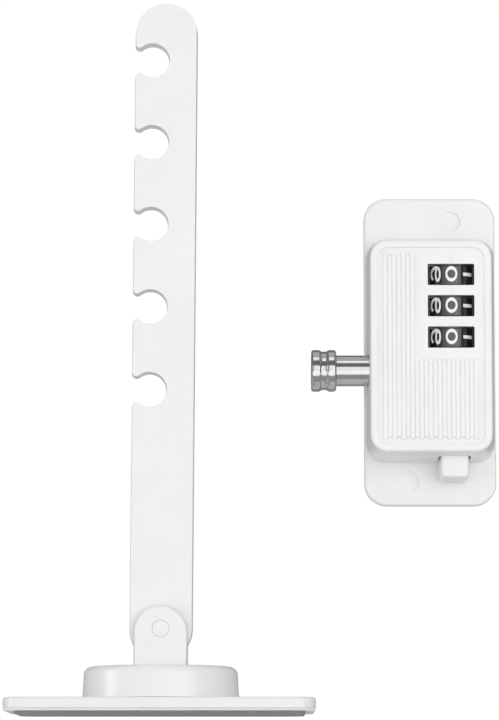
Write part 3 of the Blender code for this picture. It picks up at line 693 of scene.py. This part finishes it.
def makeStud():
    tip, back, tail, bore = stud["tip"], stud["back"], stud["tail"], stud["springBore"]
    head, groove, neck, shank = stud["head"], stud["groove"], stud["neck"], stud["shank"]
    start, end = stud["grooveSpan"]
    collarStart, collarEnd = stud["collar"]
    fine = 0.15 * mm
    path = softPath([(tip, 0, 0), (tip, head, 0.8 * mm), (start - 0.5 * mm, head, 0.3 * mm),
                     (start, groove, 0.35 * mm), (end, groove, 0.35 * mm), (end + 0.5 * mm, head, 0.3 * mm),
                     (back, head, 0.9 * mm), (back, shank, 0.12 * mm), (stud["shankEnd"], shank, fine),
                     (stud["shankEnd"], neck, fine), (collarStart, neck, fine), (collarStart, shank, fine),
                     (collarEnd, shank, fine), (collarEnd, neck, 0.1 * mm), (tail, neck, fine),
                     (tail, bore, 0), (stud["boreStart"], bore, 0), (stud["boreStart"], 0, 0)], 8)
    bm = bmesh.new()
    turned(bm, path, "x", Vector((lock["x"], offWall(dials["axisHeight"]), lock["z"] + stud["z"])), 128)
    piece("lockStudBody", bm, materials["polishedSteel"], "stud", ["stud"])


dials = {"count": 3, "windowX": 5.02 * mm, "middle": 10.2 * mm, "pitch": 8.35 * mm, "axisHeight": 11.2 * mm,
         "window": (12.28 * mm, 5.65 * mm), "windowRaise": 0.12 * mm, "radius": 7.5 * mm, "body": 7.0 * mm,
         "tall": 5 * mm, "bore": 3.62 * mm, "faceRadius": 14 * mm, "ridgeWide": 0.62 * mm,
         "numeralTall": 3.36 * mm, "numeralWide": 4.35 * mm, "numeralRaise": 0.28 * mm,
         "nib": (0.44 * mm, 0.25 * mm), "inkLift": 0.03 * mm, "inkSunk": 0.04 * mm}


def faceReach(turn):
    # how far the round of a face stands from the axis, at an angle from the middle of the face
    swell = dials["faceRadius"]
    offset = dials["body"] - swell
    return offset * math.cos(turn) + math.sqrt(swell ** 2 - (offset * math.sin(turn)) ** 2)


def wheelOutline():
    # a gently round face for each number, with a flat-topped ridge between the faces
    points = []
    half, soft, crest = dials["ridgeWide"] / 2, 0.1 * mm, dials["radius"] * 0.998
    for k in range(10):
        corner = math.radians(-90 + 18 + 36 * k)
        along = Vector((math.cos(corner), math.sin(corner)))
        across = Vector((-math.sin(corner), math.cos(corner)))
        for side, reach in ((-half, crest - 0.45 * mm), (-half, crest - soft),
                            (-half + 0.3 * soft, crest - 0.3 * soft), (-half + soft, crest),
                            (half - soft, crest), (half - 0.3 * soft, crest - 0.3 * soft),
                            (half, crest - soft), (half, crest - 0.45 * mm)):
            points.append(tuple(along * reach + across * side))
        start = math.degrees(half / dials["body"])
        for step in range(13):
            turn = math.radians(start + (36 - 2 * start) * step / 12)
            reach = faceReach(turn - math.radians(18))
            points.append((reach * math.cos(corner + turn), reach * math.sin(corner + turn)))
    return tidied(points)


def numeralStrokes(number):
    # pen paths in a box from -1 to 1 each way
    def sweep(u, v, wide, tall, start, end, steps=28):
        return [(u + wide * x, v + tall * y) for x, y in arc(0, 0, 1, start, end, steps)]

    tail = sweep(0.0, 0.02, 0.78, 0.84, 22, -122, 18)
    hook = [(-u, v) for u, v in sweep(0, 0.02, 0.86, 0.88, 32, -142, 24)]
    return {
        0: [sweep(0, 0, 0.79, 0.82, 0, 360, 48)],
        1: [[(0, -0.74), (0, 1.08)]],
        2: [sweep(0, 0.36, 0.76, 0.46, 165, -35) + [(-0.74, -0.82), (0.8, -0.82)]],
        3: [sweep(0, 0.42, 0.7, 0.4, 155, -90) + sweep(0, -0.4, 0.78, 0.42, 90, -155)],
        4: [[(0.36, -0.92), (0.36, 0.84), (-0.78, -0.36), (0.86, -0.36)]],
        5: [[(0.68, 0.82), (-0.58, 0.82), (-0.62, 0.1)] + sweep(0, -0.28, 0.78, 0.54, 130, -150)],
        6: [sweep(0, -0.42, 0.74, 0.4, 0, 360, 40), [(-u, -v) for u, v in tail]],
        7: [[(-0.76, 0.82), (0.76, 0.82), (-0.24, -0.92)]],
        8: [sweep(0, 0.42, 0.64, 0.4, 0, 360, 36), sweep(0, -0.4, 0.76, 0.42, 0, 360, 36)],
        9: [sweep(0, 0.42, 0.78, 0.4, 0, 360, 40), hook],
    }[number]


def resampled(line, gap=0.25 * mm):
    # long straight strokes get points in between, so that they follow the round face
    result = [line[0]]
    for start, end in zip(line, line[1:]):
        parts = max(1, math.ceil((end - start).length / gap))
        result += [start.lerp(end, k / parts) for k in range(1, parts + 1)]
    return result


def inkNumeral(bm, number, axis):
    # the numeral stands sideways on its flat, its top towards the next number
    turnAngle = math.radians(36 * number)
    out = Vector((math.sin(turnAngle), -math.cos(turnAngle), 0))
    up = Vector((math.cos(turnAngle), math.sin(turnAngle), 0))
    right = Vector((0, 0, -1))
    nibWide, nibTall = dials["nib"]
    halfWide, halfTall = dials["numeralWide"] / 2 - nibWide * 0.3, dials["numeralTall"] / 2 - nibTall * 0.3
    swell, lifted, sunk = dials["faceRadius"], dials["inkLift"], -dials["inkSunk"]
    for stroke in numeralStrokes(number):
        line = resampled([Vector((u * halfWide, v * halfTall)) for u, v in stroke])
        closed = (line[0] - line[-1]).length < 1e-6
        sections = []
        for i, point in enumerate(line):
            before = line[i - 1] if i else (line[-2] if closed else point)
            after = line[i + 1] if i < len(line) - 1 else (line[1] if closed else point)
            run = (after - before).normalized()
            side = Vector((-run.y, run.x))
            half = math.hypot(nibWide * side.x, nibTall * side.y)
            if before != point and after != point:   # a mitre at sharp corners
                bend = (point - before).normalized().dot((after - point).normalized())
                half /= max(math.sqrt((1 + bend) / 2), 0.5)
            section = []
            for offset, lift in ((half, sunk), (half, lifted), (-half, lifted), (-half, sunk)):
                flatSpot = point + side * offset
                reach = dials["body"] - swell + math.sqrt((swell + lift) ** 2 - flatSpot.y ** 2)
                across = flatSpot.x - dials["numeralRaise"]
                section.append(bm.verts.new(axis + out * reach + right * across + up * flatSpot.y))
            sections.append(section)
        skin(bm, sections, closed=False)
        if not closed:
            bm.faces.new(sections[0])
            bm.faces.new(sections[-1])


def makeDials():
    tall = dials["tall"]
    for i in range(dials["count"]):
        name = f"dial_{i + 1}"
        axis = jointPlace[f"{name}_turn"]
        bm = bmesh.new()
        outline = wheelOutline()
        hole = circle(dials["bore"], count=48)
        softSlab(bm, outline, "z", -tall / 2, tall / 2, 0.12 * mm, [hole], 0.1 * mm, 2)
        bmesh.ops.translate(bm, vec=axis, verts=bm.verts)
        piece(f"dialWheelBody{i + 1}", bm, materials["dialBlack"], name, [f"dial_wheel_{i + 1}"],
              32)
        ink = bmesh.new()
        for number in range(10):
            inkNumeral(ink, number, axis)
        piece(f"dialNumerals{i + 1}", ink, materials["numeralWhite"], name)


makeLockBackPlate()
makeLockSkirt()
makeLockCover()
makeGripRibs()
makeIndexMarks()
makeLockPad()
makeCoverScrews()
makeReleaseButton()
makeStud()
makeDials()
print("lock unit made")


# pieces inside the case and under the turret keep their shape and get a finish

insideFinishes = {
    "code_sleeve_1": "innerPlastic", "code_sleeve_2": "innerPlastic", "code_sleeve_3": "innerPlastic",
    "stud_guide_bush": "innerPlastic", "dial_shaft": "polishedSteel", "detent_leaf_spring": "springSteel",
    "stud_spring": "springSteel", "button_spring": "springSteel", "turret_friction_washer": "springSteel",
    "turret_retaining_washer": "plainSteel", "turret_screw": "plainSteel", "latch_slider": "plainSteel",
    "front_friction_washer": "washerBlack", "rear_friction_washer": "washerBlack",
}
for node, name in insideFinishes.items():
    obj = frame["nodes"][node]
    if not obj.data.materials:
        obj.data.materials.append(None)
    for place in obj.material_slots:
        place.material = materials[name]
print("inner pieces finished:", len(insideFinishes))


# the studio: pale floor, white backdrop and softboxes

floorLook = {"size": 6.0, "drop": 30 * mm, "tone": 0.82, "patch": 0.4, "rough": 0.7}


def makeFloor():
    bm = bmesh.new()
    half, level = floorLook["size"] / 2, -floorLook["drop"]
    bm.faces.new([bm.verts.new((x * half, y * half, level)) for x, y in ((-1, -1), (1, -1), (1, 1), (-1, 1))])
    mesh = bpy.data.meshes.new("studioFloor")
    bm.to_mesh(mesh)
    bm.free()
    floor = bpy.data.objects.new("studioFloor", mesh)
    scene.collection.objects.link(floor)
    material = bpy.data.materials.new("paleFloor")
    material.use_nodes = True
    nodes, links = material.node_tree.nodes, material.node_tree.links
    shader = nodes["Principled BSDF"]
    tone = floorLook["tone"]
    patch = noiseField(nodes, links, floorLook["patch"], 2)
    links.new(toned(nodes, links, patch, (tone, tone, tone), (tone + 0.02,) * 3), shader.inputs["Base Color"])
    shader.inputs["Roughness"].default_value = floorLook["rough"]
    mesh.materials.append(material)


skyLook = {"light": 0.3, "backdrop": 1.02}


def makeSky():
    world = bpy.data.worlds.new("whiteStudio")
    world.use_nodes = True
    scene.world = world
    nodes, links = world.node_tree.nodes, world.node_tree.links
    light = nodes["Background"]
    light.inputs["Color"].default_value = (1, 1, 1, 1)
    light.inputs["Strength"].default_value = skyLook["light"]
    backdrop = nodes.new("ShaderNodeBackground")
    backdrop.inputs["Color"].default_value = (1, 1, 1, 1)
    backdrop.inputs["Strength"].default_value = skyLook["backdrop"]
    rays = nodes.new("ShaderNodeLightPath")
    mix = nodes.new("ShaderNodeMixShader")
    links.new(rays.outputs["Is Camera Ray"], mix.inputs["Fac"])
    links.new(light.outputs["Background"], mix.inputs[1])
    links.new(backdrop.outputs["Background"], mix.inputs[2])
    links.new(mix.outputs["Shader"], nodes["World Output"].inputs["Surface"])


softboxes = {   # place, what it faces, width, height, watts
    "frontFarLeft": ((-0.52, -0.8, 0.21), (-0.52, 0, 0.21), 0.62, 0.48, 0.6),
    "frontLeft": ((-0.085, -0.8, 0.21), (-0.085, 0, 0.21), 0.25, 0.48, 0.38),
    "frontMiddle": ((0.165, -0.8, 0.21), (0.165, 0, 0.21), 0.25, 0.48, 0.6),
    "frontRight": ((0.455, -0.8, 0.21), (0.455, 0, 0.21), 0.33, 0.48, 1.15),
    "frontFarRight": ((0.84, -0.8, 0.21), (0.84, 0, 0.21), 0.44, 0.48, 1.2),
    "topBox": ((0.04, -0.45, 1.1), (0.04, 0, 0.09), 0.85, 0.43, 1.8),
    "topBack": ((0.04, 0.2, 1.1), (0.04, 0.2, 0), 0.85, 0.74, 1.1),
    "leftStrip": ((-0.69, -0.14, 0.15), (0, 0, 0.06), 0.2, 0.4, 0.7),
    "leftFill": ((-0.75, -0.3, 0.12), (0.06, 0, 0.1), 0.3, 0.4, 1.1),
    "rightFill": ((0.85, -0.3, 0.12), (0.06, 0, 0.1), 0.3, 0.4, 0.6),
    "lowFill": ((0.07, -0.7, 0.005), (0.07, 0, 0.05), 0.9, 0.06, 0.4),
    "lowCard": ((0.1, -0.48, -0.028), (0.1, -0.48, 1), 0.8, 0.62, 2.2),
    "underCard": ((0.04, 0.03, -0.027), (0.04, 0.03, 1), 0.5, 0.13, 0.09),
}
glossOnly, diffuseOnly = ("lowCard", "underCard"), ("lowFill", "leftFill", "rightFill")


def makeSoftboxes():
    for name, (place, target, width, tall, watts) in softboxes.items():
        data = bpy.data.lights.new(name, "AREA")
        data.shape, data.size, data.size_y, data.energy = "RECTANGLE", width, tall, watts
        obj = bpy.data.objects.new(name, data)
        obj.location = place
        obj.rotation_euler = (Vector(target) - Vector(place)).to_track_quat("-Z", "Y").to_euler()
        obj.visible_camera = False
        obj.visible_diffuse, obj.visible_glossy = name not in glossOnly, name not in diffuseOnly
        scene.collection.objects.link(obj)


cameraLook = {"place": (23.09 * mm, -1.0, -25 * mm), "pitch": 96.725, "lens": 191.54, "sensor": 36}


def makeCamera():
    data = bpy.data.cameras.new("frontCamera")
    data.lens, data.sensor_width = cameraLook["lens"], cameraLook["sensor"]
    data.clip_start, data.clip_end = 0.05, 50
    camera = bpy.data.objects.new("frontCamera", data)
    camera.location = cameraLook["place"]
    camera.rotation_euler = (math.radians(cameraLook["pitch"]), 0, 0)
    scene.collection.objects.link(camera)
    scene.camera = camera


makeFloor()
makeSky()
makeSoftboxes()
makeCamera()
scene.view_settings.view_transform = "Standard"
print("studio made")
